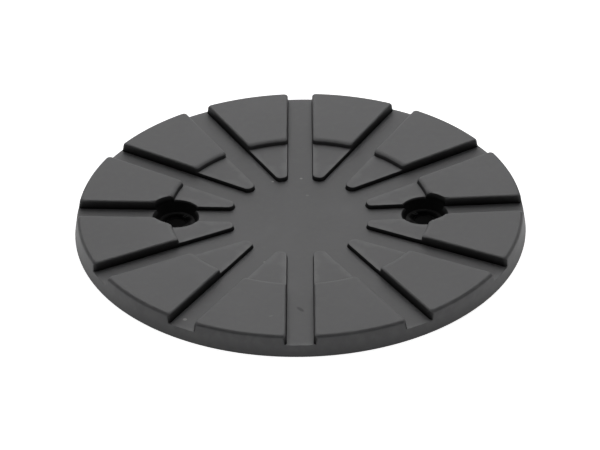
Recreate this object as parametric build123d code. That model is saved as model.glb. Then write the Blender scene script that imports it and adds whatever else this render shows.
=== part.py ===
from build123d import *
import math
import os

# Outside of the pad, in millimetres. The origin is on the axis, on the flat underside.
pad_diameter = 180.0  # across the bottom edge
rim_draft = 10.0  # degrees, lean of the outer wall
rim_rounding = 1.9  # outer top edge of the ribs

# Dished top: a cone that rises to the rim, with a shallow spherical cap at its middle
middle_thickness = 1.95  # groove floor above the underside, at the axis
dish_angle = 1.94  # degrees, rise of the cone
cap_radius = 20.0  # where the cap runs into the cone without a crease

# Ribs, with parallel grooves between them that meet in a bare middle
rib_count = 12
groove_width = 10.16  # between the feet of the rib walls
wall_draft = 3.0  # degrees, lean of the rib walls and the steps
low_height = 1.7  # inner part of a rib, above the groove floor
high_height = 3.7  # outer part of a rib, above the groove floor
tip_radius = 27.3  # foot of the inner ends of the ribs
step_radius = 52.1  # foot of the step between the two parts
step_overlap = 8.0  # how far the low part runs on under the high part
tip_corner_rounding = 1.7
step_corner_rounding = 1.5
outer_corner_rounding = 1.5
outer_overhang = 0.12  # how far the drawn outer ends stand outside the wall they are cut to
top_edge_chamfer = 0.35
rib_root = 1.0  # how deep the ribs are sunk into the disc
roof_gap = 0.03  # between the flat top of a rib and the end of the rim rounding

# Two screw recesses, centred on opposite grooves
hole_pitch = 99.2
hole_diameter = 8.4
recess_half_angle = 37.0  # degrees, between the cone and its axis
recess_floor_diameter = 18.4  # recess across the groove floor
ledge_height = 0.9  # ledge at the foot of the cone, above the underside

# Sizes that follow from those above
pad_radius = pad_diameter / 2
hole_offset = hole_pitch / 2
rib_angle = 360 / rib_count
rise = math.tan(math.radians(dish_angle))
cap_rise = math.tan(math.radians(dish_angle / 2))
rim_slope = math.tan(math.radians(rim_draft))
wall_slope = math.tan(math.radians(wall_draft))
recess_slope = math.tan(math.radians(recess_half_angle))
root_spread = rib_root * wall_slope


def floor_height(radius):
    """Height of the groove floor above the underside, on the cone of the dish."""
    return middle_thickness + cap_radius * (cap_rise - rise) + radius * rise


def edge_radius(lift):
    """Radius at which the outer wall meets the dish raised by a lift above the floor."""
    return (pad_radius - rim_slope * (floor_height(0) + lift)) / (1 + rim_slope * rise)


def make_disc():
    """The disc under the ribs, turned with its dished top, before its outer wall is cut."""
    cap_edge = (cap_radius, floor_height(cap_radius))
    middle = (0, middle_thickness)
    outline = [
        Polyline(middle, (0, 0), (pad_radius, 0), (pad_radius, floor_height(pad_radius)), cap_edge),
        TangentArc(middle, cap_edge, tangent=(1, 0)),
    ]
    return revolve(Plane.XZ * make_face(outline), Axis.Z)


def make_envelope():
    """Turned shape that gives the pad its outer wall and the ribs their rounded outer edge."""
    lift = high_height + roof_gap
    rim = (edge_radius(lift), floor_height(edge_radius(lift)) + lift)
    outline = Polyline((0, 0), (pad_radius, 0), rim, (0, floor_height(0) + lift), close=True)
    profile = make_face(outline)
    outer_top = profile.vertices().sort_by_distance(rim)[0]
    return revolve(Plane.XZ * fillet(outer_top, rim_rounding), Axis.Z)


def rib_plan(inner_radius, outer_radius, half_groove):
    """Plan of a rib along +X, between two circles, its sides parallel to the grooves."""
    turn = math.radians(rib_angle / 2)

    def side_point(radius):
        """Corner of the plan on the left side, at a distance from the axis."""
        along = math.sqrt(radius**2 - half_groove**2)
        x = along * math.cos(turn) + half_groove * math.sin(turn)
        y = along * math.sin(turn) - half_groove * math.cos(turn)
        return x, y

    inner_x, inner_y = side_point(inner_radius)
    outer_x, outer_y = side_point(outer_radius)
    outline = [
        Line((inner_x, -inner_y), (outer_x, -outer_y)),
        ThreePointArc((outer_x, -outer_y), (outer_radius, 0), (outer_x, outer_y)),
        Line((outer_x, outer_y), (inner_x, inner_y)),
        ThreePointArc((inner_x, inner_y), (inner_radius, 0), (inner_x, -inner_y)),
    ]
    return make_face(outline)


def round_plan(plan, at_inner_end, rounding):
    """Round the two corners at one end of a rib plan, as far as its width allows."""
    corners = plan.vertices().sort_by(Axis.X)
    ends = corners[:2] if at_inner_end else corners[-2:]
    half_width = max(abs(corner.Y) for corner in ends)
    return fillet(ends, min(rounding, 0.9 * half_width))


def raise_block(plan, lift):
    """Block on a plan, from its root in the disc to a flat top that follows the dish."""
    tilt = math.radians(dish_angle)
    along = Vector(math.cos(tilt), 0, math.sin(tilt))
    up = Vector(-math.sin(tilt), 0, math.cos(tilt))
    root = Vector(0, 0, floor_height(0)) - up * rib_root
    block = extrude(Plane(origin=root, x_dir=along, z_dir=up) * plan, rib_root + lift, taper=wall_draft)
    top = block.faces().sort_by(Axis(tuple(root), tuple(up)))[-1]
    return chamfer(top.edges(), top_edge_chamfer)


def make_rib():
    """One rib along +X: a low inner part that runs on under a high outer part."""
    half_groove = groove_width / 2 - root_spread
    high_plan = rib_plan(step_radius - root_spread, edge_radius(0) + outer_overhang, half_groove)
    high_plan = round_plan(high_plan, True, step_corner_rounding)
    high_plan = round_plan(high_plan, False, outer_corner_rounding)
    high = raise_block(high_plan, high_height)
    low_plan = rib_plan(tip_radius - root_spread, step_radius + step_overlap, half_groove)
    low = raise_block(round_plan(low_plan, True, tip_corner_rounding), low_height)
    return high + low


def recess_radius(height):
    """Radius of the conical recess at a height above the underside."""
    return recess_floor_diameter / 2 + (height - floor_height(hole_offset)) * recess_slope


def make_recess():
    """Cutter for a screw recess: a cone down to a ledge, and a plain hole below it."""
    top = floor_height(pad_radius) + high_height
    bottom = -ledge_height
    outline = Polyline(
        (0, bottom),
        (hole_diameter / 2, bottom),
        (hole_diameter / 2, ledge_height),
        (recess_radius(ledge_height), ledge_height),
        (recess_radius(top), top),
        (0, top),
        close=True,
    )
    return revolve(Plane.XZ * make_face(outline), Axis.Z)


def make_pad():
    """The whole moulding: a disc, its ribs and its two screw recesses."""
    rib = make_rib()
    ribs = [Rot(0, 0, (index + 0.5) * rib_angle) * rib for index in range(rib_count)]
    recesses = [Pos(x, 0, 0) * make_recess() for x in (-hole_offset, hole_offset)]
    return ((make_disc() + ribs) & make_envelope()) - recesses


if __name__ == "__main__":
    os.makedirs("parts", exist_ok=True)
    pad = make_pad()
    export_step(pad, "parts/pad.step")
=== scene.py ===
"""Round ribbed rubber pad with two screw recesses, dressed for a soft studio picture."""

import enum
import logging
import math
from dataclasses import dataclass, field
from typing import Callable, Sequence, Union

import bpy
import numpy as np
from mathutils import Matrix, Vector
from mathutils.geometry import delaunay_2d_cdt


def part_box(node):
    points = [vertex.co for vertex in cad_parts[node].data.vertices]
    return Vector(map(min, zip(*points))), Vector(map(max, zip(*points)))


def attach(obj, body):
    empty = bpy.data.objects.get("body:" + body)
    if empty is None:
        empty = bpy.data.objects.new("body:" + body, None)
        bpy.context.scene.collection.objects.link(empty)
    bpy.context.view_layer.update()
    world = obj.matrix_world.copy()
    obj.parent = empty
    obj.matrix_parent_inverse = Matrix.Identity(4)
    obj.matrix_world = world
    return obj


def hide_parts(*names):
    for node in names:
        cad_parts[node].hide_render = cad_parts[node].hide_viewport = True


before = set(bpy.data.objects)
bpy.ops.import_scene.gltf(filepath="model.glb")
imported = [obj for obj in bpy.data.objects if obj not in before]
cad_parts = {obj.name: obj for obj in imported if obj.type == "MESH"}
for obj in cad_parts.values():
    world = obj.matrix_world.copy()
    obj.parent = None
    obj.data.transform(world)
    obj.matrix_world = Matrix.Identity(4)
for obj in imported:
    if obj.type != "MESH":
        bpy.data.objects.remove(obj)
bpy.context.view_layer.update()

MM = 0.001  # metres
FLOOR_SHADE_SHARE = 0.97  # part of the pad's radius under which the floor is painted dark as shade
LOG = logging.getLogger("rubber_pad")

Points = np.ndarray
Number = Union[int, float]


# Mesh spacing and shared geometry, in millimetres


@dataclass(frozen=True)
class MeshDetail:
    """How closely the lines of the mesh lie, and into how many steps rounded places are divided."""

    end_spacing: float = 1.4  # along the two ends of a rib and the edge of the groove floor
    side_spacing: float = 3.0  # along the side walls
    base_spacing: float = 0.8  # round the underside
    corner_steps: int = 10
    foot_steps: int = 5
    low_top_steps: int = 5
    high_top_steps: int = 9
    step_foot_steps: int = 3
    step_top_steps: int = 10
    rim_steps: int = 8
    edge_room: float = 0.05  # in height, between the lines of two rounded edges
    rim_run: float = 12.0  # how far the lines of the rounded rim run inward along the side walls
    floor_edge_lines: tuple[float, ...] = (-0.09, -0.24, 0.05)  # beside the edge of the groove floor
    floor_edge_spacing: float = 1.0
    floor_edge_turn: float = 0.055  # radians from the groove's middle
    hole_steps: int = 48
    recess_steps: int = 64
    recess_foot: float = 0.9  # first line outside the ledge
    flare_lines: int = 3
    flare_trim: float = 0.02  # radians
    flare_margin: float = 0.3  # least depth below the uncut surface
    mouth_lines: tuple[float, ...] = (0.03, 0.11)  # outside the mouth
    mouth_trim: float = 0.03  # radians
    mouth_density: float = 24.0  # points a radian
    crossing_steps: int = 8
    low_crossings: int = 14
    step_crossings: int = 12
    high_crossings: int = 24
    fill_start: float = 4.0
    fill_ring_spacing: float = 3.6
    fill_spacing: float = 3.2
    fill_wall_room: float = 1.0  # between loose points and a rib wall
    fill_mouth_depth: float = 0.6  # between loose points and the recess, in height
    fill_hole_distance: float = 8.8
    fill_rim_room: float = 1.0
    border_rim_room: float = 1.5
    border_room: float = 0.7  # between points along the sides of a half sector
    underside_lines: tuple[float, ...] = (30.0, 60.0)
    weld_digits: int = 4
    sharp_angle: float = 38.0  # degrees
    normal_weight: int = 60


DETAIL = MeshDetail()


def arc_about_axis(radius: float, start: float, end: float, spacing: float) -> Points:
    """Arc about the pad's axis.

    Args:
        radius: distance from the axis.
        start: angle of its start in radians.
        end: angle of its end in radians.
        spacing: largest step between points.

    Returns:
        Plan coordinates, both ends among them.
    """
    count = max(2, math.ceil(abs(end - start) * radius / spacing))
    angle = np.linspace(start, end, count + 1)
    return np.column_stack([radius * np.cos(angle), radius * np.sin(angle)])


def axis_distance(plan: Points) -> Points:
    """Distance of plan points from the pad's axis."""
    return np.hypot(plan[:, 0], plan[:, 1])


def smooth_min(first: Points, second: Points, softness: float) -> Points:
    """Lower of two heights, blended where they are nearly the same."""
    overlap = np.maximum(softness - np.abs(first - second), 0.0)
    return np.minimum(first, second) - overlap**2 / (4 * softness)


def halved(near: Points, far: Points, holds: Callable[[Points], Points]) -> Points:
    """Last place between two points at which a condition of the first still holds.

    Args:
        near: point where the condition holds.
        far: point where it doesn't.
        holds: gives one truth value for each row of points.

    Returns:
        The place, found by halving.
    """
    for _ in range(30):
        middle = (near + far) / 2
        if holds(middle[None, :])[0]:
            near = middle
        else:
            far = middle
    return near


def refined(line: Points, steps: int) -> Points:
    """The line with each of its stretches divided evenly.

    Args:
        line: plan points.
        steps: parts of each stretch.

    Returns:
        The old points with new ones between them.
    """
    shares = np.linspace(0, 1, steps + 1)[:-1, None]
    parts = [near + (far - near) * shares for near, far in zip(line[:-1], line[1:])]
    return np.vstack([*parts, line[-1:]])


def triangulated(
    outline: Points, lines: list[Points], loose: Points
) -> tuple[Points, list[tuple[int, ...]]]:
    """Triangles that fill an outline.

    Args:
        outline: corners of the closed outline, counter-clockwise.
        lines: lines inside it that become edges.
        loose: points inside it that become corners.

    Returns:
        Plan coordinates of the corners and the corners of each face.
    """
    points = [Vector(point) for point in outline]
    edges: list[tuple[int, int]] = []
    for line in lines:
        base = len(points)
        points += [Vector(point) for point in line]
        edges += [(base + k, base + k + 1) for k in range(len(line) - 1)]
    points += [Vector(point) for point in loose]
    flat, _, faces, *_ = delaunay_2d_cdt(points, edges, [list(range(len(outline)))], 1, 1e-5)
    return np.array([tuple(point) for point in flat]), [tuple(face) for face in faces]


# Outline and height of the pad, in millimetres


@dataclass(frozen=True)
class WallProfile:
    """Leaning wall with a rounded foot and a rounded top edge, read as inset against height.

    Attributes:
        slope: inset gained per millimetre of height.
        foot: height at which the wall stands.
        foot_rounding: radius between wall and ground, 0 for none.
        top: height at which the wall ends.
        top_rounding: radius between wall and top.
        top_stretch: how much wider than tall the rounded top edge is.
    """

    slope: float
    foot: float
    foot_rounding: float
    top: float
    top_rounding: float
    top_stretch: float = 1.0

    def inset(self, height: Points) -> Points:
        """How far inside the wall's foot line the surface stands.

        Args:
            height: heights above the groove floor.

        Returns:
            Inset at each height, negative in the rounded foot.
        """
        lean = math.hypot(1.0, self.slope)
        rounded_share = 1 - self.slope / lean
        reach = self.top - self.foot
        level = np.clip(height, self.foot, self.top) - self.foot
        below = np.clip(self.foot_rounding - level, 0.0, self.foot_rounding)
        foot_centre = self.foot_rounding * (self.slope - lean)
        foot_arc = foot_centre + np.sqrt(self.foot_rounding**2 - below**2)
        above = np.clip(level - reach + self.top_rounding, 0.0, self.top_rounding)
        top_centre = (reach - self.top_rounding) * self.slope + self.top_rounding * lean
        top_arc = top_centre - np.sqrt(self.top_rounding**2 - above**2)
        top_start = reach - self.top_rounding * rounded_share
        top_inset = top_start * self.slope
        stretched = top_inset + (top_arc - top_inset) * self.top_stretch
        in_foot = level < self.foot_rounding * rounded_share
        wall = np.where(in_foot, foot_arc, level * self.slope)
        return np.where(level > top_start, stretched, wall)

    def foot_levels(self, count: int) -> list[float]:
        """Heights that divide the rounded foot evenly, from the ground to the wall."""
        shares = self.rounded_shares(count)
        return [self.foot + self.foot_rounding * share for share in shares]

    def top_levels(self, count: int) -> list[float]:
        """Heights that divide the rounded top edge evenly, from the wall to the top."""
        shares = reversed(self.rounded_shares(count))
        return [self.top - self.top_rounding * share for share in shares]

    def rounded_shares(self, count: int) -> list[float]:
        """Heights on a rounding of radius 1, from level ground to the wall."""
        turn = math.acos(self.slope / math.hypot(1.0, self.slope))
        return [1 - math.cos(turn * k / count) for k in range(count + 1)]


@dataclass(frozen=True)
class PadForm:
    """Sizes of the moulding in millimetres and degrees, and the height of its upper surface."""

    radius: float = 90.0
    rim_draft: float = 10.0  # lean of the outer wall
    rim_rounding: float = 1.5  # outer top edge of the ribs
    floor_edge_softness: float = 0.25  # outer edge of the groove floor
    middle_thickness: float = 1.95
    dish_angle: float = 1.94
    cap_radius: float = 20.0  # where the shallow cap at the middle runs into the cone
    rib_count: int = 12
    groove_width: float = 10.16
    wall_draft: float = 3.0  # lean of the side walls
    tip_draft: float = 15.0  # lean of the inner ends
    step_draft: float = 10.0  # lean of the steps between the levels
    low_height: float = 1.7
    high_height: float = 3.7
    tip_radius: float = 27.3
    step_radius: float = 51.7
    tip_corner: float = 1.7
    step_corner: float = 1.5
    outer_corner: float = 1.5
    top_rounding: float = 0.4  # top edges of the low level
    high_top_rounding: float = 1.0  # side edges of the high level
    foot_rounding: float = 0.2
    step_rounding: float = 1.1  # height of the rounded top edge of the steps
    step_stretch: float = 2.0  # how much wider than tall that rounding is
    step_foot_rounding: float = 0.15
    hole_offset: float = 49.6
    hole_radius: float = 4.2
    ledge_radius: float = 7.4
    ledge_height: float = 0.9
    recess_floor_radius: float = 9.3  # recess at the level of the groove floor
    flare_height: float = 1.5  # above the groove floor, where the recess turns steep
    flare_radius: float = 10.0
    bore_draft: float = 3.0  # lean of the steep part
    mouth_rounding: float = 0.25
    recess_shade_fade: float = 0.4  # depth over which the painted shade in a recess sets in

    @property
    def half_sector(self) -> float:
        """Angle from the middle of a groove to the middle of a rib, in radians."""
        return math.pi / self.rib_count

    @property
    def rise(self) -> float:
        """Slope of the dish."""
        return math.tan(math.radians(self.dish_angle))

    @property
    def rim_slope(self) -> float:
        """Inset of the outer wall per millimetre of height above the underside."""
        return math.tan(math.radians(self.rim_draft))

    @property
    def recess_outline(self) -> tuple[Points, Points]:
        """Radii and heights of a recess: ledge, groove floor, end of the flare, above the ribs."""
        floor = float(self.cone_height(self.hole_offset))
        above = 2 * self.high_height
        bore_slope = math.tan(math.radians(self.bore_draft))
        top = self.flare_radius + (above - self.flare_height) * bore_slope
        radii = np.array([self.ledge_radius, self.recess_floor_radius, self.flare_radius, top])
        heights = np.array([self.ledge_height, floor, floor + self.flare_height, floor + above])
        return radii, heights

    @property
    def floor_edge(self) -> float:
        """Radius at which the groove floor meets the outer wall."""
        at_floor = self.radius - self.rim_slope * self.cone_height(0.0)
        return at_floor / (1 + self.rim_slope * self.rise)

    def cone_height(self, radius: Points) -> Points:
        """Height of the dish's cone above the underside."""
        cap_drop = self.cap_radius * (math.tan(math.radians(self.dish_angle / 2)) - self.rise)
        return self.middle_thickness + cap_drop + radius * self.rise

    def floor_height(self, radius: Points) -> Points:
        """Height of the groove floor, with the shallow cap at its middle.

        Args:
            radius: distance from the axis.

        Returns:
            Height above the underside.
        """
        ball = self.cap_radius / math.sin(math.radians(self.dish_angle))
        inner = np.minimum(radius, self.cap_radius)
        cap = self.middle_thickness + ball - np.sqrt(ball**2 - inner**2)
        return np.where(radius < self.cap_radius, cap, self.cone_height(radius))

    def wall_height(self, radius: Points) -> Points:
        """Height of the outer wall at a distance from the axis."""
        return (self.radius - radius) / self.rim_slope

    def recess_height(self, distance: Points) -> Points:
        """Height of a recess at a distance from the middle of its hole."""
        radii, heights = self.recess_outline
        return np.interp(distance, radii, heights, right=2 * heights[-1])

    def recess_reach(self, height: Points) -> Points:
        """Distance from the middle of the hole at which the recess has a height."""
        radii, heights = self.recess_outline
        return np.interp(height, heights, radii)


class Level(enum.Enum):
    """The two levels of a rib."""

    LOW = "low"
    HIGH = "high"


@dataclass(frozen=True)
class RibBlock:
    """One level of a rib, as nested outlines in distance from its side line and from the axis.

    Attributes:
        form: the pad's sizes.
        level: which level of the rib this is.
    """

    form: PadForm
    level: Level

    @property
    def top(self) -> float:
        """Height of the block above the groove floor."""
        return self.form.low_height if self.level is Level.LOW else self.form.high_height

    @property
    def side(self) -> WallProfile:
        """Profile of the side walls."""
        slope = math.tan(math.radians(self.form.wall_draft))
        is_low = self.level is Level.LOW
        rounding = self.form.top_rounding if is_low else self.form.high_top_rounding
        return WallProfile(slope, 0.0, self.form.foot_rounding, self.top, rounding)

    @property
    def inner(self) -> WallProfile:
        """Profile of the inner end, which on the high level stands on the low one."""
        form = self.form
        if self.level is Level.LOW:
            slope = math.tan(math.radians(form.tip_draft))
            return WallProfile(slope, 0.0, form.foot_rounding, self.top, form.top_rounding)
        return WallProfile(
            slope=math.tan(math.radians(form.step_draft)),
            foot=form.low_height,
            foot_rounding=form.step_foot_rounding,
            top=self.top,
            top_rounding=form.step_rounding,
            top_stretch=form.step_stretch,
        )

    @property
    def outer(self) -> WallProfile:
        """Profile of the outer end, flush with the pad's outer wall."""
        slope = self.form.rim_slope / (1 + self.form.rim_slope * self.form.rise)
        return WallProfile(slope, 0.0, 0.0, self.form.high_height, self.form.rim_rounding)

    def inner_radius(self, height: Points) -> Points:
        """Distance from the axis of the inner end at a height."""
        start = self.form.tip_radius if self.level is Level.LOW else self.form.step_radius
        return start + self.inner.inset(height)

    def outer_radius(self, height: Points) -> Points:
        """Distance from the axis of the outer end at a height."""
        return self.form.floor_edge - self.outer.inset(height)

    def inner_corner(self, height: Points) -> Points:
        """Corner rounding at the inner end, which the narrow tip limits.

        Args:
            height: height above the groove floor.

        Returns:
            Radius of the corner.
        """
        if self.level is Level.HIGH:
            return np.full_like(height, self.form.step_corner)
        room = self.inner_radius(height) * math.sin(self.form.half_sector) - self.form.groove_width / 2
        return np.minimum(self.form.tip_corner, 0.98 * (room - self.side.inset(height)))

    def holds(self, height: Points, inside: Points, radius: Points) -> Points:
        """Whether points lie within the block's outline at a height.

        Args:
            height: height of the outline at each point.
            inside: distance from the side line, positive on the rib.
            radius: distance from the axis.

        Returns:
            One truth value a point.
        """
        across = inside - self.side.inset(height)
        back = radius - self.inner_radius(height)
        front = self.outer_radius(height) - radius
        result = (across >= 0) & (back >= 0) & (front >= 0)
        for along, rounding in ((back, self.inner_corner(height)), (front, self.form.outer_corner)):
            in_corner = (across < rounding) & (along < rounding)
            outside = (rounding - across) ** 2 + (rounding - along) ** 2 > rounding**2
            result &= ~(in_corner & outside)
        return result

    def height(self, inside: Points, radius: Points) -> Points:
        """Height of the block above the groove floor, found by halving.

        Args:
            inside: distance from the side line, positive on the rib.
            radius: distance from the axis.

        Returns:
            Height at each point, 0 outside the block.
        """
        low = np.zeros_like(inside)
        high = np.full_like(inside, self.top)
        full = self.holds(high, inside, radius)
        none = ~self.holds(low, inside, radius)
        for _ in range(34):
            middle = (low + high) / 2
            held = self.holds(middle, inside, radius)
            low = np.where(held, middle, low)
            high = np.where(held, high, middle)
        return np.where(none, 0.0, np.where(full, self.top, low))

    def height_at(self, plan: Points) -> Points:
        """Height of the block above the groove floor at plan points."""
        return self.height(plan[:, 1] - self.form.groove_width / 2, axis_distance(plan))

    def plan(self, inside: Points, radius: Points) -> Points:
        """Plan coordinates, with X along the middle of the groove."""
        across = inside + self.form.groove_width / 2
        return np.column_stack([np.sqrt(radius**2 - across**2), across])

    def inner_part(self, height: float) -> Points:
        """Outline at a height from the middle of the rib round its inner corner.

        Args:
            height: height above the groove floor.

        Returns:
            Plan coordinates.
        """
        level = np.array(height)
        side = float(self.side.inset(level))
        radius = float(self.inner_radius(level))
        corner = self.corner(side, radius, float(self.inner_corner(level)), 1.0)
        start = math.atan2(corner[0][1], corner[0][0])
        end_arc = arc_about_axis(radius, self.form.half_sector, start, DETAIL.end_spacing)
        return np.vstack([end_arc[:-1], corner])

    def outer_part(self, height: float) -> Points:
        """Outline at a height from the side line round the outer corner to the rib's middle.

        Args:
            height: height above the groove floor.

        Returns:
            Plan coordinates.
        """
        level = np.array(height)
        side = float(self.side.inset(level))
        radius = float(self.outer_radius(level))
        corner = self.corner(side, radius, self.form.outer_corner, -1.0)[::-1]
        start = math.atan2(corner[-1][1], corner[-1][0])
        end_arc = arc_about_axis(radius, start, self.form.half_sector, DETAIL.end_spacing)
        return np.vstack([corner, end_arc[1:]])

    def corner(self, side: float, radius: float, rounding: float, outward: float) -> Points:
        """Rounded corner between an end of the rib and its side wall.

        Args:
            side: inset of the side wall.
            radius: distance of the end from the axis.
            rounding: radius of the corner.
            outward: 1 where the rib lies outside the end, -1 where it lies inside.

        Returns:
            Plan coordinates from the end to the side.
        """
        turn = np.linspace(0, math.pi / 2, DETAIL.corner_steps + 1)
        inside = side + rounding * (1 - np.sin(turn))
        return self.plan(inside, radius + outward * rounding * (1 - np.cos(turn)))

    def side_part(self, height: float, start: float, end: float) -> Points:
        """Stretch of the side wall's line at a height, between two distances from the axis.

        Args:
            height: height above the groove floor.
            start: distance of its start.
            end: distance of its end.

        Returns:
            Plan coordinates.
        """
        count = max(2, math.ceil((end - start) / DETAIL.side_spacing))
        side = float(self.side.inset(np.array(height)))
        radius = np.linspace(start, end, count + 1)
        return self.plan(np.full_like(radius, side), radius)

    def ring(self, height: float) -> Points:
        """Whole outline at a height, from the rib's middle at its inner end to its outer end.

        Args:
            height: height above the groove floor.

        Returns:
            Plan coordinates.
        """
        inner = self.inner_part(height)
        outer = self.outer_part(height)
        start = float(np.hypot(*inner[-1]))
        end = float(np.hypot(*outer[0]))
        return np.vstack([inner[:-1], self.side_part(height, start, end), outer[1:]])


@dataclass(frozen=True)
class UpperSurface:
    """Height of the pad's upper surface over a half sector, from groove middle to rib middle.

    Attributes:
        form: the pad's sizes.
        has_recess: whether a screw recess is cut into this half sector.
    """

    form: PadForm
    has_recess: bool

    @property
    def low(self) -> RibBlock:
        """The low inner level of the rib."""
        return RibBlock(self.form, Level.LOW)

    @property
    def high(self) -> RibBlock:
        """The high outer level of the rib."""
        return RibBlock(self.form, Level.HIGH)

    def lift(self, points: Points) -> Points:
        """Height of the rib above the groove floor."""
        return np.maximum(self.low.height_at(points), self.high.height_at(points))

    def uncut(self, points: Points) -> Points:
        """Height of the surface above the underside, before a recess is cut.

        Args:
            points: plan coordinates.

        Returns:
            One height a point.
        """
        radius = axis_distance(points)
        lift = self.lift(points)
        floor = self.form.floor_height(radius)
        wall = self.form.wall_height(radius)
        ground = smooth_min(floor, wall, self.form.floor_edge_softness)
        return np.maximum(np.where(lift > 0, np.minimum(floor + lift, wall), ground), 0.0)

    def hole_distance(self, points: Points) -> Points:
        """Distance of points from the middle of the screw hole."""
        return np.hypot(points[:, 0] - self.form.hole_offset, points[:, 1])

    def clearance(self, points: Points) -> Points:
        """How far the recess stands above the uncut surface, negative where it cuts."""
        return self.form.recess_height(self.hole_distance(points)) - self.uncut(points)

    def height(self, points: Points) -> Points:
        """Height of the finished surface above the underside.

        Args:
            points: plan coordinates.

        Returns:
            One height a point.
        """
        uncut = self.uncut(points)
        if not self.has_recess:
            return uncut
        distance = self.hole_distance(points)
        rounding = self.form.mouth_rounding
        over = np.clip(distance - self.form.recess_reach(uncut), 0.0, rounding)
        drop = rounding - np.sqrt(rounding**2 - (rounding - over) ** 2)
        return np.minimum(uncut - drop, self.form.recess_height(distance))


# Mesh of the moulding


@dataclass
class Tile:
    """Triangulated half sector.

    Attributes:
        points: positions in millimetres, one row a vertex.
        faces: vertex indices of each face, seen from outside in counter-clockwise order.
        edge: how near each vertex is to an exposed top edge, from 0 to 1, for the pale edges that are
            part wear and part painted highlight.
        painted_shade: painted shade at each vertex, in a recess, on the hole's wall or on a rib wall,
            from 0 to 1.
    """

    points: Points
    faces: list[tuple[int, ...]]
    edge: Points
    painted_shade: Points


@dataclass(frozen=True)
class RecessLines:
    """Lines of a screw recess over the half sector that it is cut into.

    Attributes:
        surface: surface that the lines lie on.
    """

    surface: UpperSurface

    @property
    def form(self) -> PadForm:
        """Sizes of the pad."""
        return self.surface.form

    def circle(self, distance: Points, turn: Points) -> Points:
        """Plan points round the hole, at distances from its middle."""
        x = self.form.hole_offset + distance * np.cos(turn)
        y = np.where(np.isin(turn, (0.0, math.pi)), 0.0, distance * np.sin(turn))
        return np.column_stack([x, y])

    def half_circle(self, radius: float, steps: int) -> Points:
        """Half circle round the hole, its ends on the middle of the groove."""
        return self.circle(np.full(steps + 1, radius), np.linspace(0, math.pi, steps + 1))

    def runs(self, line: Points, outside: bool, margin: float = 0.0) -> list[Points]:
        """Parts of a line outside or inside the recess.

        Args:
            line: plan points.
            outside: keep what the recess leaves, else what it cuts.
            margin: least height between the recess and the uncut surface.

        Returns:
            Each kept run, ending on the mouth where it meets it.
        """
        sign = 1.0 if outside else -1.0

        def kept(points: Points) -> Points:
            """Whether points lie on the side that is kept.

            Args:
                points: plan coordinates.

            Returns:
                One truth value a point.
            """
            return sign * self.surface.clearance(points) > margin

        flags = kept(line)
        result: list[Points] = []
        run: list[Points] = []
        for index, point in enumerate(line):
            if index and flags[index] != flags[index - 1]:
                near, far = (line[index - 1], point) if flags[index - 1] else (point, line[index - 1])
                run.append(halved(near, far, kept))
            if flags[index]:
                run.append(point)
            elif run:
                result.append(np.array(run))
                run = []
        if run:
            result.append(np.array(run))
        return [part for part in result if len(part) > 1]

    def inside(self) -> list[Points]:
        """Lines in the recess: the hole, the ledge and the flare above it.

        Returns:
            Plan coordinates of each line.
        """
        form = self.form
        lines = [
            self.half_circle(form.hole_radius, DETAIL.hole_steps),
            self.half_circle(form.ledge_radius, DETAIL.recess_steps),
            self.half_circle(form.ledge_radius + DETAIL.recess_foot, DETAIL.recess_steps),
        ]
        turn = np.linspace(DETAIL.flare_trim, math.pi - DETAIL.flare_trim, DETAIL.recess_steps)
        for radius in np.linspace(form.recess_floor_radius, form.flare_radius, DETAIL.flare_lines):
            arc = self.circle(np.full_like(turn, radius), turn)
            lines += self.runs(arc, outside=False, margin=DETAIL.flare_margin)
        return lines

    def gap(self, plan: Points, lift: float) -> Points:
        """How far the recess stands above a level at a lift over the groove floor."""
        ground = self.form.floor_height(axis_distance(plan)) + lift
        return self.form.recess_height(self.surface.hole_distance(plan)) - ground

    def crossings(self, block: RibBlock, lifts: Points, outermost: bool) -> Points:
        """Where the outlines of a block meet the recess, which is the mouth on one of its walls.

        Args:
            block: level of the rib.
            lifts: heights above the groove floor.
            outermost: take the last crossing from the rib's inner end, else the first.

        Returns:
            One plan point a height.
        """
        found = []
        for lift in lifts:
            line = refined(block.ring(lift), DETAIL.crossing_steps)
            gap = self.gap(line, lift)
            change = np.where(np.sign(gap[1:]) != np.sign(gap[:-1]))[0]
            index = change[-1] if outermost else change[0]
            cut = gap[index] < 0
            spot = halved(line[index], line[index + 1], lambda plan: (self.gap(plan, lift) < 0) == cut)
            found.append(spot)
        return np.array(found)

    def level_arc(
        self, lift: float, start: Points, end: Points, offset: float = 0.0, trim: float = 0.0
    ) -> Points:
        """Mouth over level ground, or a line beside it.

        Args:
            lift: height of the ground above the groove floor.
            start: plan point that gives the direction of its start from the hole.
            end: plan point that gives the direction of its end.
            offset: how far outside the mouth it runs.
            trim: angle in radians left out at both ends.

        Returns:
            Plan coordinates.
        """
        first = math.atan2(start[1], start[0] - self.form.hole_offset)
        last = math.atan2(end[1], end[0] - self.form.hole_offset)
        left_out = trim * np.sign(last - first)
        count = max(8, int(abs(last - first) * DETAIL.mouth_density))
        turn = np.linspace(first + left_out, last - left_out, count)
        distance = np.full_like(turn, self.form.recess_floor_radius)
        for _ in range(6):
            ground = self.form.floor_height(axis_distance(self.circle(distance, turn))) + lift
            distance = self.form.recess_reach(ground)
        return self.circle(distance + offset, turn)

    def mouth(self) -> list[Points]:
        """The mouth over the floor, the walls and both levels, with lines beside it.

        Returns:
            Plan coordinates of each line.
        """
        form = self.form
        low, high = self.surface.low, self.surface.high
        low_lifts = np.linspace(0.0, form.low_height, DETAIL.low_crossings)
        step_lifts = np.linspace(form.low_height, form.high_height, DETAIL.step_crossings)
        high_lifts = np.linspace(0.0, form.high_height, DETAIL.high_crossings)
        back_wall = self.crossings(low, low_lifts, outermost=False)
        step_wall = self.crossings(high, step_lifts, outermost=False)
        front_wall = self.crossings(high, high_lifts, outermost=True)
        lines = [back_wall, step_wall, front_wall]
        offsets = (*DETAIL.mouth_lines, form.mouth_rounding)

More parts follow.
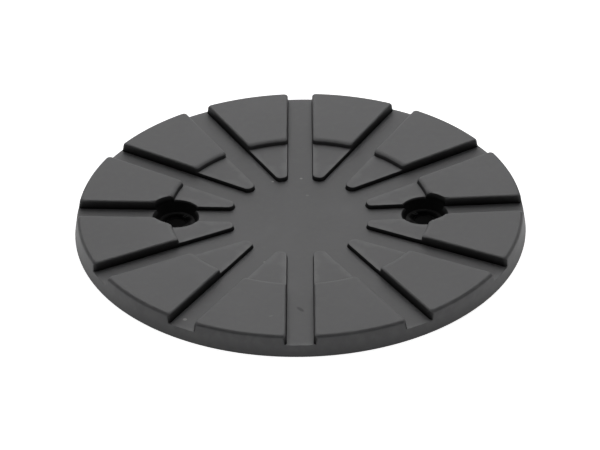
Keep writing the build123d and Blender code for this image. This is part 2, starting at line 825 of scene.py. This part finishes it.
        outward = np.array([form.hole_offset + form.recess_floor_radius, 0.0])
        arc = self.level_arc(0.0, outward, front_wall[0])
        lines.append(np.vstack([arc[:-1], front_wall[:1]]))
        lines += [self.level_arc(0.0, outward, front_wall[0], offset)[:-1] for offset in offsets]

        inward = np.array([form.hole_offset - form.recess_floor_radius, 0.0])
        arc = self.level_arc(0.0, back_wall[0], inward)
        lines.append(np.vstack([back_wall[:1], arc[1:]]))
        lines += [self.level_arc(0.0, back_wall[0], inward, offset)[1:] for offset in offsets]

        for lift, start, end in (
            (form.low_height, back_wall[-1], step_wall[0]),
            (form.high_height, step_wall[-1], front_wall[-1]),
        ):
            arc = self.level_arc(lift, start, end)
            lines.append(np.vstack([start, arc[1:-1], end]))
            lines += [self.level_arc(lift, start, end, offset, DETAIL.mouth_trim) for offset in offsets]
        return lines


@dataclass(frozen=True)
class ExposureMasks:
    """Where the rubber gets pale edges, part wear and part painted highlight, and where shade is
    painted.

    Attributes:
        surface: surface that the masks are read from.
        edge_reach: how far from an exposed edge a lower place is looked for.
        edge_drop: drop within that reach that counts in full.
        probe: distance between the two heights that give a slope.
        wall_slope: slope at which a rib wall starts to count.
        slope_span: further slope at which it counts in full.
        top_share: how much less it counts at the top of the high level.
        rim_zone: how far inside the floor's edge the outer wall is left out of the slopes.
        wall_zone: how far inside that edge nothing counts.
    """

    surface: UpperSurface
    edge_reach: float = 0.55
    edge_drop: float = 0.8
    probe: float = 0.12
    wall_slope: float = 0.9
    slope_span: float = 1.6
    top_share: float = 0.55
    rim_zone: float = 4.0
    wall_zone: float = 0.3

    def edges(self, plan: Points) -> Points:
        """How near plan points are to an exposed top edge, from 0 to 1.

        Args:
            plan: plan coordinates.

        Returns:
            One value a point.
        """
        height = self.surface.height(plan)
        lower = height.copy()
        for angle in np.linspace(0, 2 * math.pi, 9)[:-1]:
            moved = plan + self.edge_reach * np.array([math.cos(angle), math.sin(angle)])
            moved[:, 1] = np.abs(moved[:, 1])
            lower = np.minimum(lower, self.surface.height(moved))
        return np.clip((height - lower) / self.edge_drop, 0.0, 1.0)

    def walls(self, plan: Points) -> Points:
        """How much painted shade plan points on the rib walls get, from 0 to 1, most of all at the
        foot.

        Args:
            plan: plan coordinates.

        Returns:
            One value a point, 0 on level ground and on the outer wall.
        """
        form = self.surface.form
        radius = axis_distance(plan)
        height = self.surface.uncut(plan)
        steepest = np.zeros(len(plan))
        for angle in np.linspace(0, 2 * math.pi, 9)[:-1]:
            turn = np.arctan2(plan[:, 1], plan[:, 0]) + angle
            moved = plan + self.probe * np.column_stack([np.cos(turn), np.sin(turn)])
            moved[:, 1] = np.abs(moved[:, 1])
            slope = np.abs(self.surface.uncut(moved) - height) / self.probe
            leads_to_rim = (radius > form.floor_edge - self.rim_zone) & (abs(math.cos(angle)) > 0.1)
            steepest = np.maximum(steepest, np.where(leads_to_rim, 0.0, slope))
        steep = np.clip((steepest - self.wall_slope) / self.slope_span, 0.0, 1.0)
        lift = np.clip((height - form.floor_height(radius)) / form.high_height, 0.0, 1.0)
        outer = radius > form.floor_edge - self.wall_zone
        return np.where(outer, 0.0, steep * (1.0 - self.top_share * lift))

    def painted_shade(self, plan: Points) -> Points:
        """Painted shade at plan points in a recess or on a rib wall, from 0 to 1.

        Args:
            plan: plan coordinates.

        Returns:
            One value a point.
        """
        depth = self.surface.uncut(plan) - self.surface.height(plan)
        recess = np.clip(depth / self.surface.form.recess_shade_fade, 0.0, 1.0)
        return np.maximum(recess, self.walls(plan))


@dataclass
class TileMesher:
    """Lays lines over a half sector and triangulates between them.

    Attributes:
        surface: surface that the tile follows.
        lines: plan lines that become edges of the mesh.
    """

    surface: UpperSurface
    lines: list[Points] = field(default_factory=list)

    @property
    def form(self) -> PadForm:
        """Sizes of the pad."""
        return self.surface.form

    @property
    def recess(self) -> RecessLines:
        """Lines of the screw recess."""
        return RecessLines(self.surface)

    def add_rings(self) -> None:
        """Lines along the rounded feet, walls and top edges of the rib."""
        low, high = self.surface.low, self.surface.high
        for level in low.side.foot_levels(DETAIL.foot_steps):
            self.lines.append(low.ring(level))
        for level in low.side.top_levels(DETAIL.low_top_steps):
            self.lines.append(self.until_high(low.ring(level)))
        for level in high.inner.foot_levels(DETAIL.step_foot_steps):
            self.lines.append(high.inner_part(level))
        for level in self.below_side_edge(high.inner.top_levels(DETAIL.step_top_steps)):
            self.lines.append(high.inner_part(level))
        for level in high.side.top_levels(DETAIL.high_top_steps):
            self.lines.append(high.ring(level))
        rim_start = self.form.floor_edge - DETAIL.rim_run
        for level in self.below_side_edge(high.outer.top_levels(DETAIL.rim_steps)):
            outer = high.outer_part(level)
            run = high.side_part(level, rim_start, float(np.hypot(*outer[0])))
            self.lines.append(np.vstack([run, outer[1:]]))

    def below_side_edge(self, levels: list[float]) -> list[float]:
        """Those heights that lie well below the rounded edge of the high side walls."""
        start = self.surface.high.side.top_levels(1)[0]
        return [level for level in levels if level < start - DETAIL.edge_room]

    def until_high(self, line: Points) -> Points:
        """Part of a low outline before it runs under the high level.

        Args:
            line: plan points from the rib's tip outward.

        Returns:
            The points before the high level, ending on its foot.
        """

        def is_open(points: Points) -> Points:
            """Whether the high level leaves points open.

            Args:
                points: plan coordinates.

            Returns:
                One truth value a point.
            """
            return self.surface.high.height_at(points) <= self.form.low_height

        first = int(np.argmin(is_open(line)))
        return np.vstack([line[:first], halved(line[first - 1], line[first], is_open)])

    def add_floor_edge(self) -> None:
        """Lines along the outer edge of the groove floor."""
        edge = self.form.floor_edge
        foot_end = self.surface.high.outer_part(0.0)[DETAIL.corner_steps]
        rib_side = math.atan2(foot_end[1], foot_end[0])
        self.lines.append(arc_about_axis(edge, 0.0, rib_side, DETAIL.end_spacing))
        end, spacing = DETAIL.floor_edge_turn, DETAIL.floor_edge_spacing
        for offset in DETAIL.floor_edge_lines:
            self.lines.append(arc_about_axis(edge + offset, 0.0, end, spacing))

    def add_recess(self) -> None:
        """Cut all lines so far at the mouth of the recess and add its own lines."""
        recess = self.recess
        self.lines = [part for line in self.lines for part in recess.runs(line, outside=True)]
        self.lines += recess.inside()
        self.lines += recess.mouth()

    def fill(self) -> Points:
        """Loose points over floors and rib tops, so that faces stay even.

        Returns:
            Plan coordinates.
        """
        half = self.form.half_sector
        spots = []
        end = self.form.floor_edge - DETAIL.fill_rim_room
        for radius in np.arange(DETAIL.fill_start, end, DETAIL.fill_ring_spacing):
            count = max(1, int(radius * half / DETAIL.fill_spacing))
            for index in range(1, count):
                angle = half * index / count
                spots.append((radius * math.cos(angle), radius * math.sin(angle)))
        points = np.array(spots)
        inside = points[:, 1] - self.form.groove_width / 2
        points = points[np.abs(inside) > DETAIL.fill_wall_room]
        if self.surface.has_recess:
            points = points[np.abs(self.surface.clearance(points)) > DETAIL.fill_mouth_depth]
            points = points[self.surface.hole_distance(points) > DETAIL.fill_hole_distance]
        return points

    def border(self) -> Points:
        """Closed outline of the tile through every line end that lies on it.

        Returns:
            Plan coordinates.
        """
        form = self.form
        half = form.half_sector
        end = form.floor_edge - DETAIL.border_rim_room
        even = list(np.arange(DETAIL.fill_start, end, DETAIL.fill_ring_spacing))
        ends = np.vstack([line[[0, -1]] for line in self.lines])

        def side(on_side: Points) -> list[float]:
            """Distances from the axis of the ends on one side, with even ones between them.

            Args:
                on_side: which line ends lie on that side.

            Returns:
                The distances in order.
            """
            fixed = sorted(set(np.round(axis_distance(ends[on_side]), 7)))
            room = DETAIL.border_room
            clear = [value for value in even if all(abs(value - other) > room for other in fixed)]
            return sorted(fixed + clear)

        groove = side(np.abs(ends[:, 1]) < 1e-9)
        if self.surface.has_recess:
            gap = (form.hole_offset - form.hole_radius, form.hole_offset + form.hole_radius)
            groove = [value for value in groove if not gap[0] < value < gap[1]]
        rib = side(np.abs(np.arctan2(ends[:, 1], ends[:, 0]) - half) < 1e-9)
        return self.outline(groove, rib)

    def outline(self, groove: Sequence[float], rib: Sequence[float]) -> Points:
        """Closed outline of the half sector.

        Args:
            groove: distances from the axis of its points along the middle of the groove.
            rib: the same along the middle of the rib.

        Returns:
            Plan coordinates, counter-clockwise from the axis.
        """
        half = self.form.half_sector
        start = [(0.0, 0.0), *((value, 0.0) for value in groove)]
        base = arc_about_axis(self.form.radius, 0.0, half, DETAIL.base_spacing)
        end = [(value * math.cos(half), value * math.sin(half)) for value in reversed(rib)]
        return np.vstack([start, base, end])

    def clear_of_hole(self, plan: Points, faces: list[tuple[int, ...]]) -> list[tuple[int, ...]]:
        """Those faces that lie outside the screw hole.

        Args:
            plan: plan coordinates.
            faces: corners of each face.

        Returns:
            The faces that stay.
        """
        if not self.surface.has_recess:
            return faces
        middles = np.array([plan[list(face)].mean(axis=0) for face in faces])
        clear = self.surface.hole_distance(middles) > 0.998 * self.form.hole_radius
        return [face for face, is_clear in zip(faces, clear) if is_clear]

    def build(self) -> Tile:
        """Triangulate the lines and lift them onto the surface.

        Returns:
            The upper surface of the half sector.
        """
        self.add_rings()
        self.add_floor_edge()
        if self.surface.has_recess:
            self.add_recess()
        plan, faces = triangulated(self.border(), self.lines, self.fill())
        points = np.column_stack([plan, self.surface.height(plan)])
        masks = ExposureMasks(self.surface)
        return Tile(points, self.clear_of_hole(plan, faces), masks.edges(plan), masks.painted_shade(plan))

    def underside(self) -> Tile:
        """Flat underside of the half sector with the wall of its hole.

        Returns:
            The underside, facing down, and the hole's wall where there is one.
        """
        radii = DETAIL.underside_lines
        hole = np.empty((0, 2))
        if self.surface.has_recess:
            hole = self.recess.half_circle(self.form.hole_radius, DETAIL.hole_steps)
        plan, faces = triangulated(self.outline(radii, radii), [hole], np.empty((0, 2)))
        kept = [tuple(reversed(face)) for face in self.clear_of_hole(plan, faces)]
        below = len(plan)
        top = self.form.ledge_height
        corners = [(x, y, 0.0) for x, y in plan]
        for (x0, y0), (x1, y1) in zip(hole[:-1], hole[1:]):
            first = len(corners)
            corners += [(x0, y0, 0.0), (x1, y1, 0.0), (x1, y1, top), (x0, y0, top)]
            kept.append((first + 3, first + 2, first + 1, first))
        points = np.array(corners)
        # The hole's wall gets full painted shade.
        in_hole = (np.arange(len(points)) >= below).astype(float)
        return Tile(points, kept, np.zeros(len(points)), in_hole)


@dataclass(frozen=True)
class RubberPad:
    """The whole moulding as one welded mesh.

    Attributes:
        form: sizes of the pad.
        finish: rubber that covers it.
    """

    form: PadForm
    finish: "MouldedRubber"

    def tiles(self) -> dict[bool, list[Tile]]:
        """Upper and lower tiles, by whether they hold a recess.

        Returns:
            The two tiles for each answer.
        """
        made = {}
        for has_recess in (False, True):
            mesher = TileMesher(UpperSurface(self.form, has_recess))
            made[has_recess] = [mesher.build(), mesher.underside()]
        return made

    def build(self) -> bpy.types.Object:
        """Build the mesh, weld its tiles and dress it.

        Returns:
            The pad as one object.
        """
        made = self.tiles()
        points: list[Points] = []
        marks: list[Points] = []
        faces: list[tuple[int, ...]] = []
        count = 0
        for sector in range(self.form.rib_count):
            turn = 2 * sector * self.form.half_sector
            spin = np.array([[math.cos(turn), math.sin(turn)], [-math.sin(turn), math.cos(turn)]])
            for side in (1.0, -1.0):
                for tile in made[sector in (0, self.form.rib_count // 2)]:
                    placed = tile.points.copy()
                    placed[:, 1] *= side
                    placed[:, :2] = placed[:, :2] @ spin
                    points.append(placed)
                    marks.append(np.column_stack([tile.edge, tile.painted_shade]))
                    for face in tile.faces:
                        ordered = face if side > 0 else tuple(reversed(face))
                        faces.append(tuple(index + count for index in ordered))
                    count += len(placed)
        return self.weld(np.vstack(points), np.vstack(marks), faces)

    def weld(
        self, points: Points, marks: Points, faces: list[tuple[int, ...]]
    ) -> bpy.types.Object:
        """Join vertices that share a place and make the object.

        Args:
            points: positions in millimetres.
            marks: edge mask and painted shade mask of each vertex.
            faces: vertex indices of each face.

        Returns:
            The dressed object.
        """
        key = np.round(points, DETAIL.weld_digits) + 0.0
        _, first, joined = np.unique(key, axis=0, return_index=True, return_inverse=True)
        joined = joined.reshape(-1)
        kept = []
        for face in faces:
            corners = [int(joined[index]) for index in face]
            if len(set(corners)) == len(corners):
                kept.append(corners)
        mesh = bpy.data.meshes.new("rubber_pad")
        mesh.from_pydata((points[first] * MM).tolist(), [], kept)
        mesh.update()
        # Vertex masks: pale edges, part wear and part painted highlight, and painted shade.
        for column, name in enumerate(("edge_wear_and_highlight", "painted_shade")):
            layer = mesh.attributes.new(name, "FLOAT", "POINT")
            layer.data.foreach_set("value", marks[first, column].astype(np.float32))
        mesh.shade_smooth()
        mesh.set_sharp_from_angle(angle=math.radians(DETAIL.sharp_angle))
        pad = bpy.data.objects.new("rubber_pad", mesh)
        bpy.context.collection.objects.link(pad)
        mesh.materials.append(self.finish.material())
        normals = pad.modifiers.new("even_shading", "WEIGHTED_NORMAL")
        normals.keep_sharp = True
        normals.weight = DETAIL.normal_weight
        return pad


# Shader maths


class Socket:
    """A shader value that can be used in plain arithmetic."""

    def __init__(self, tree: "ShaderTree", link: Union[bpy.types.NodeSocket, Number]) -> None:
        """Wrap a socket or a number.

        Args:
            tree: tree that new nodes go into.
            link: output socket or constant.
        """
        self.tree = tree
        self.link = link

    def _math(self, operation: str, *others: Union["Socket", Number]) -> "Socket":
        """Result of one Math node on this value and others."""
        values = {index + 1: other for index, other in enumerate(others)}
        return self.tree.node("ShaderNodeMath", {"operation": operation}, {0: self, **values})

    def __add__(self, other: Union["Socket", Number]) -> "Socket":
        """Sum."""
        return self._math("ADD", other)

    __radd__ = __add__

    def __sub__(self, other: Union["Socket", Number]) -> "Socket":
        """Difference."""
        return self._math("SUBTRACT", other)

    def __rsub__(self, other: Number) -> "Socket":
        """Difference from a number."""
        return Socket(self.tree, other)._math("SUBTRACT", self)

    def __mul__(self, other: Union["Socket", Number]) -> "Socket":
        """Product."""
        return self._math("MULTIPLY", other)

    __rmul__ = __mul__

    def clamped(self) -> "Socket":
        """The value held between 0 and 1."""
        return self.tree.node("ShaderNodeClamp", {}, {"Value": self})

    def remapped(self, start: float, end: float, low: float = 0.0, high: float = 1.0) -> "Socket":
        """The value mapped from one range to another and held inside it.

        Args:
            start: value that maps to low.
            end: value that maps to high.
            low: result at start.
            high: result at end.

        Returns:
            The mapped value.
        """
        settings = {"clamp": True, "interpolation_type": "SMOOTHSTEP"}
        limits = {"From Min": start, "From Max": end, "To Min": low, "To Max": high}
        return self.tree.node("ShaderNodeMapRange", settings, {"Value": self, **limits})


SocketValue = Union[Socket, Number, tuple[float, ...]]
SocketValues = dict[Union[int, str], SocketValue]
Family = Union[bpy.types.BlendDataMaterials, bpy.types.BlendDataWorlds]


class ShaderTree:
    """Builds the nodes of a material or a world from expressions."""

    def __init__(self, name: str, family: Family) -> None:
        """Start with an empty tree.

        Args:
            name: name of the material or world.
            family: where it is made.
        """
        self.owner = family.new(name)
        self.owner.use_nodes = True
        self.nodes = self.owner.node_tree.nodes
        self.links = self.owner.node_tree.links
        self.nodes.clear()

    def place(
        self, kind: str, settings: dict[str, object], values: SocketValues
    ) -> bpy.types.Node:
        """Add one node.

        Args:
            kind: type of the node.
            settings: properties that are set first.
            values: number, colour or socket for each input.

        Returns:
            The node.
        """
        made = self.nodes.new(kind)
        for key, value in settings.items():
            setattr(made, key, value)
        for key, value in values.items():
            if isinstance(value, Socket) and isinstance(value.link, bpy.types.NodeSocket):
                self.links.new(value.link, made.inputs[key])
            else:
                made.inputs[key].default_value = value.link if isinstance(value, Socket) else value
        return made

    def node(
        self,
        kind: str,
        settings: dict[str, object],
        values: SocketValues,
        output: Union[int, str] = 0,
    ) -> Socket:
        """Add one node and take one of its outputs.

        Args:
            kind: type of the node.
            settings: properties that are set first.
            values: number, colour or socket for each input.
            output: which output is returned.

        Returns:
            The chosen output.
        """
        return Socket(self, self.place(kind, settings, values).outputs[output])

    def noise(self, place: Socket, scale: float, detail: float, roughness: float = 0.5) -> Socket:
        """Noise over the surface.

        Args:
            place: coordinates.
            scale: cells a metre.
            detail: octaves.
            roughness: strength of the finer octaves.

        Returns:
            The noise value.
        """
        values = {"Vector": place, "Scale": scale, "Detail": detail, "Roughness": roughness}
        return self.node("ShaderNodeTexNoise", {}, values)

    def vector(self, operation: str, first: Socket, second: SocketValue) -> Socket:
        """Result of one Vector Math node on two vectors."""
        return self.node("ShaderNodeVectorMath", {"operation": operation}, {0: first, 1: second})

    def length(self, vector: Socket) -> Socket:
        """Length of a vector."""
        return self.node("ShaderNodeVectorMath", {"operation": "LENGTH"}, {0: vector}, "Value")

    def mix_colour(self, share: SocketValue, first: SocketValue, second: SocketValue) -> Socket:
        """Blend of two colours."""
        settings = {"data_type": "RGBA"}
        return self.node("ShaderNodeMix", settings, {0: share, 6: first, 7: second}, 2)

    def finish(self, shader: Socket) -> Union[bpy.types.Material, bpy.types.World]:
        """Join a shader to the output and give what the tree belongs to.

        Args:
            shader: surface of the material or background of the world.

        Returns:
            The material or the world.
        """
        is_world = isinstance(self.owner, bpy.types.World)
        kind = "ShaderNodeOutputWorld" if is_world else "ShaderNodeOutputMaterial"
        self.place(kind, {}, {"Surface": shader})
        return self.owner


# Rubber


Colour = tuple[float, float, float, float]


@dataclass(frozen=True)
class SurfaceMark:
    """A small mark on the rubber, seen from above.

    Attributes:
        middle: its middle in millimetres from the axis.
        length: its length in millimetres.
        width: its width in millimetres.
        angle: degrees from the X axis to its length.
        strength: share of the mark's colour at its middle.
    """

    middle: tuple[float, float]
    length: float
    width: float
    angle: float
    strength: float


DUST_MARKS = (
    SurfaceMark((0.4, 28.7), 1.5, 1.4, 0.0, 1.0),
    SurfaceMark((-11.2, 26.6), 1.4, 1.2, 0.0, 1.0),
    SurfaceMark((2.9, 16.5), 1.8, 1.5, 0.0, 0.35),
    SurfaceMark((-43.2, -71.6), 2.0, 2.0, 0.0, 1.0),
    SurfaceMark((-13.5, -31.8), 2.4, 1.2, 0.0, 0.8),
    SurfaceMark((-10.9, -74.8), 2.4, 1.2, 20.0, 0.2),
)
SCRATCHES = (
    SurfaceMark((0.05, -65.1), 5.2, 2.0, -52.5, 1.0),
)


@dataclass(frozen=True)
class MouldedRubber:
    """Matt black moulded rubber with a fine grain, a little dust and pale edges, part wear and part
    painted highlight.

    It is painted darker in the recesses and on the rib walls, where the photograph shows deep
    shade that the lights alone don't give.

    Attributes:
        colour: rubber as moulded.
        rubbed_and_highlight: colour of the pale edges, part wear and part painted highlight.
        dust: colour of dust.
        scratch: colour of the scratched rubber.
        painted_shade_colour: painted shade in the recesses, on the holes' walls and on the rib walls.
        roughness: roughness of clean rubber.
        specular: specular level of the open rubber.
        painted_shade_specular: specular level in that painted shade.
        cloud_scale: cells a metre of the widest variation.
        mottle_scale: cells a metre of the mottle.
        grain_scale: cells a metre of the grain.
        speck_scale: cells a metre of the specks of dust.
        bump_strength: strength of the grain and mottle in relief.
        bump_height: height of that relief in metres.
    """

    colour: Colour = (0.098, 0.098, 0.101, 1.0)
    rubbed_and_highlight: Colour = (0.135, 0.135, 0.138, 1.0)
    dust: Colour = (0.30, 0.295, 0.285, 1.0)
    scratch: Colour = (0.030, 0.030, 0.031, 1.0)
    painted_shade_colour: Colour = (0.006, 0.006, 0.006, 1.0)
    roughness: float = 0.60
    specular: float = 0.5
    painted_shade_specular: float = 0.1
    cloud_scale: float = 28.0
    mottle_scale: float = 240.0
    grain_scale: float = 2600.0
    speck_scale: float = 260.0
    bump_strength: float = 0.25
    bump_height: float = 0.0001

    def material(self) -> bpy.types.Material:
        """Build the rubber.

        Returns:
            The material.
        """
        tree = ShaderTree("moulded_rubber", bpy.data.materials)
        place = tree.node("ShaderNodeTexCoord", {}, {}, "Object")
        cloud = tree.noise(place, self.cloud_scale, 3.0)
        mottle = tree.noise(place, self.mottle_scale, 4.0)
        grain = tree.noise(place, self.grain_scale, 2.0)
        cells: SocketValues = {"Vector": place, "Scale": self.speck_scale}
        spot = tree.node("ShaderNodeTexVoronoi", {}, cells, "Distance").remapped(0.10, 0.05)
        chosen = tree.node("ShaderNodeTexVoronoi", {}, cells, "Color").remapped(0.90, 0.95)
        speck = spot * chosen
        # Pale top edges: part wear, part painted highlight.
        edge = tree.node("ShaderNodeAttribute", {"attribute_name": "edge_wear_and_highlight"}, {}, "Fac")
        rub_and_highlight = (edge * mottle.remapped(0.35, 0.65, 0.5, 1.0)).clamped()
        film = cloud.remapped(0.35, 0.75) * 0.04 + mottle.remapped(0.4, 0.8) * 0.07
        base = tree.mix_colour(rub_and_highlight * 0.8, self.colour, self.rubbed_and_highlight)
        dusty = film + speck * 0.35
        for mark in DUST_MARKS:
            dusty = dusty + self.smear(tree, place, mark)
        base = tree.mix_colour(dusty.clamped(), base, self.dust)
        for mark in SCRATCHES:
            base = tree.mix_colour(self.smear(tree, place, mark), base, self.scratch)
        rough = self.roughness + (mottle - 0.5) * 0.12 + (cloud - 0.5) * 0.08 - rub_and_highlight * 0.05
        relief = grain * 0.6 + mottle * 0.8 + speck * 0.4
        bump = tree.node(
            "ShaderNodeBump",
            {},
            {"Strength": self.bump_strength, "Distance": self.bump_height, "Height": relief},
        )
        open_rubber = self.shader(tree, base, rough, self.specular, bump)
        # Nearly black copy of the rubber with little gloss: painted shade in the recesses, holes and on
        # the rib walls.
        painted_shade_rubber = self.shader(tree, self.painted_shade_colour, rough, self.painted_shade_specular, bump)
        painted_shade = tree.node("ShaderNodeAttribute", {"attribute_name": "painted_shade"}, {}, "Fac")
        shaders: SocketValues = {0: painted_shade, 1: open_rubber, 2: painted_shade_rubber}
        return tree.finish(tree.node("ShaderNodeMixShader", {}, shaders))

    def shader(
        self, tree: ShaderTree, colour: SocketValue, rough: Socket, specular: float, bump: Socket
    ) -> Socket:
        """One of the two rubbers: the open one, or its copy that is painted shade.

        Args:
            tree: tree that the node goes into.
            colour: colour of the rubber.
            rough: its roughness.
            specular: its specular level.
            bump: normals of its grain.

        Returns:
            The shader.
        """
        values: SocketValues = {"Base Color": colour, "Roughness": rough, "Normal": bump}
        values["Specular IOR Level"] = specular
        return tree.node("ShaderNodeBsdfPrincipled", {}, values)

    def smear(self, tree: ShaderTree, place: Socket, mark: SurfaceMark) -> Socket:
        """One mark on the surface, as a soft oval.

        Args:
            tree: tree that the nodes go into.
            place: coordinates in metres.
            mark: the mark.

        Returns:
            Strength from 0 to the mark's own.
        """
        centre = (mark.middle[0] * MM, mark.middle[1] * MM, 0.0)
        local = tree.vector("SUBTRACT", place, centre)
        turn: SocketValues = {"Vector": local, "Angle": -math.radians(mark.angle)}
        turned = tree.node("ShaderNodeVectorRotate", {"rotation_type": "Z_AXIS"}, turn)
        reach = (2 / (mark.length * MM), 2 / (mark.width * MM), 0.0)
        distance = tree.length(tree.vector("MULTIPLY", turned, reach))
        return distance.remapped(1.0, 0.5) * mark.strength


# Studio


WHITE: Colour = (1.0, 1.0, 1.0, 1.0)


@dataclass(frozen=True)
class SoftBox:
    """Square soft light that faces the middle of the pad.

    Attributes:
        name: name of the lamp.
        place: its middle in metres.
        size: its side in metres.
        power: watts.
    """

    name: str
    place: tuple[float, float, float]
    size: float
    power: float

    def build(self) -> None:
        """Make the lamp."""
        data = bpy.data.lights.new(self.name, "AREA")
        data.shape = "SQUARE"
        data.size = self.size
        data.energy = self.power
        lamp = bpy.data.objects.new(self.name, data)
        lamp.location = self.place
        lamp.rotation_mode = "QUATERNION"
        lamp.rotation_quaternion = (-Vector(self.place)).to_track_quat("-Z", "Y")
        bpy.context.collection.objects.link(lamp)


@dataclass(frozen=True)
class Studio:
    """Plain pale floor, soft lights above and behind the pad, and a pale horizon.

    Attributes:
        floor_shade_radius: how far the painted shade on the floor under the pad reaches, in metres.
        floor_shade_edge: width in metres over which that painted shade turns pale.
        floor_size: side of the floor in metres.
        floor_depth: how far the floor lies below the underside, in metres.
        floor_colour: colour of the floor in its own light.
        floor_shade_colour: painted shade on the floor under the pad, seen through the holes.
        floor_glow: strength with which the camera sees the floor besides its own light.
        soft_boxes: the lights.
        horizon_strength: strength of the pale surroundings near the horizon.
        horizon_top: degrees above the floor up to which they reach.
        horizon_blend: how far they fade on either side of that height, as a sine.
    """

    floor_shade_radius: float
    floor_shade_edge: float = 0.002
    floor_size: float = 6.0
    floor_depth: float = 0.00002
    floor_colour: Colour = (0.92, 0.92, 0.92, 1.0)
    floor_shade_colour: Colour = (0.01, 0.01, 0.01, 1.0)
    floor_glow: float = 0.9
    soft_boxes: tuple[SoftBox, ...] = (
        SoftBox("overhead", (0.0, 0.5, 1.1), 1.4, 5.3),
        SoftBox("behind", (0.0, 0.85, 0.75), 0.9, 3.5),
        SoftBox("low_behind", (0.0, 1.25, 0.42), 0.8, 2.4),
    )
    horizon_strength: float = 0.42
    horizon_top: float = 20.0
    horizon_blend: float = 0.04

    def build(self) -> None:
        """Make the floor, the lights and the world."""
        self.floor()
        for soft_box in self.soft_boxes:
            soft_box.build()
        self.surroundings()

    def surroundings(self) -> None:
        """Pale surroundings near the horizon, with nothing above them."""
        tree = ShaderTree("pale_horizon", bpy.data.worlds)
        direction = tree.node("ShaderNodeTexCoord", {}, {}, "Generated")
        rise = tree.node("ShaderNodeSeparateXYZ", {}, {0: direction}, "Z")
        top = math.sin(math.radians(self.horizon_top))
        below = rise.remapped(top + self.horizon_blend, top - self.horizon_blend)
        values: SocketValues = {"Color": WHITE, "Strength": below * self.horizon_strength}
        bpy.context.scene.world = tree.finish(tree.node("ShaderNodeBackground", {}, values))

    def floor(self) -> None:
        """Floor that the camera sees as white, with the pad's shadow on it."""
        half = self.floor_size / 2
        corners = [(-half, -half, 0), (half, -half, 0), (half, half, 0), (-half, half, 0)]
        mesh = bpy.data.meshes.new("floor")
        mesh.from_pydata(corners, [], [(0, 1, 2, 3)])
        mesh.materials.append(self.floor_material())
        floor = bpy.data.objects.new("floor", mesh)
        floor.location.z = -self.floor_depth
        bpy.context.collection.objects.link(floor)

    def floor_material(self) -> bpy.types.Material:
        """Matt floor with a glow that the camera, gloss and clear things see, painted dark as shade
        under the pad.

        Returns:
            The material.
        """
        tree = ShaderTree("pale_floor", bpy.data.materials)
        distance = tree.length(tree.node("ShaderNodeTexCoord", {}, {}, "Object"))
        # Painted shade: under the pad the floor is nearly black and has no glow.
        is_open = distance.remapped(self.floor_shade_radius - self.floor_shade_edge, self.floor_shade_radius)
        colour = tree.mix_colour(is_open, self.floor_shade_colour, self.floor_colour)
        matt = tree.node("ShaderNodeBsdfDiffuse", {}, {"Color": colour})
        values: SocketValues = {"Color": WHITE, "Strength": is_open * self.floor_glow}
        glow = tree.node("ShaderNodeEmission", {}, values)
        camera, gloss, through = (
            tree.node("ShaderNodeLightPath", {}, {}, f"Is {kind} Ray")
            for kind in ("Camera", "Glossy", "Transmission")
        )
        seen = (camera + gloss + through).clamped()
        both = tree.node("ShaderNodeAddShader", {}, {0: matt, 1: glow})
        return tree.finish(tree.node("ShaderNodeMixShader", {}, {0: seen, 1: matt, 2: both}))


@dataclass(frozen=True)
class PhotoCamera:
    """Camera that stands where the photograph was taken from.

    Attributes:
        distance: from the middle of the underside, in pad radii.
        elevation: degrees above the floor.
        azimuth: degrees that the pad is turned in front of the camera.
        roll: degrees about the line of sight.
        centre: pixel at which the middle of the underside is seen.
        scale: pixels a pad radius at that distance.
        picture: width and height in pixels.
        sensor: sensor width in millimetres.
        clip: nearest and farthest distance seen, in metres.
    """

    distance: float = 10.508
    elevation: float = 33.475
    azimuth: float = -0.4995
    roll: float = 0.9743
    centre: tuple[float, float] = (300.311, 222.404)
    scale: float = 224.66
    picture: tuple[int, int] = (600, 450)
    sensor: float = 36.0
    clip: tuple[float, float] = (0.01, 20.0)

    def build(self, radius: float) -> None:
        """Place the camera.

        Args:
            radius: radius of the pad in metres.
        """
        focal = self.scale * self.distance
        tilt = math.radians(self.elevation)
        back = Vector((0.0, -math.cos(tilt), math.sin(tilt)))
        right = Vector((1.0, 0.0, 0.0))
        facing = Matrix((right, back.cross(right), back)).to_4x4()
        turn_x = math.atan2(self.centre[0] - self.picture[0] / 2, focal)
        turn_y = math.atan2((self.centre[1] - self.picture[1] / 2) * math.cos(turn_x), focal)
        sideways = Matrix.Rotation(turn_x, 4, "Y")
        upright = Matrix.Rotation(-turn_y, 4, "X")
        flip = Matrix.Diagonal((1.0, -1.0, -1.0, 1.0))
        view = (
            flip @ sideways @ upright @ flip
            @ Matrix.Rotation(math.radians(self.roll), 4, "Z")
            @ Matrix.Translation((0.0, 0.0, -self.distance * radius))
            @ facing
            @ Matrix.Rotation(math.radians(self.azimuth), 4, "Z")
        )
        data = bpy.data.cameras.new("photo_camera")
        data.sensor_width = self.sensor
        data.lens = focal / self.picture[0] * self.sensor
        data.clip_start = self.clip[0]
        data.clip_end = self.clip[1]
        camera = bpy.data.objects.new("photo_camera", data)
        camera.matrix_world = view.inverted()
        bpy.context.collection.objects.link(camera)
        bpy.context.scene.camera = camera


def main() -> None:
    """Build the pad, the studio and the camera."""
    logging.basicConfig(level=logging.INFO, format="%(name)s: %(message)s")
    pad_low, pad_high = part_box("pad")
    radius = (pad_high[0] - pad_low[0]) / 2
    form = PadForm(radius=radius / MM)
    pad = RubberPad(form, MouldedRubber()).build()
    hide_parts("pad")
    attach(pad, "root")
    LOG.info("%s: %d faces", pad.name, len(pad.data.polygons))
    Studio(floor_shade_radius=radius * FLOOR_SHADE_SHARE).build()
    LOG.info("studio: floor, soft boxes and world")
    PhotoCamera().build(radius)
    LOG.info("camera at the photograph's angle")
    bpy.context.scene.view_settings.view_transform = "Standard"


if __name__ == "__main__":
    main()
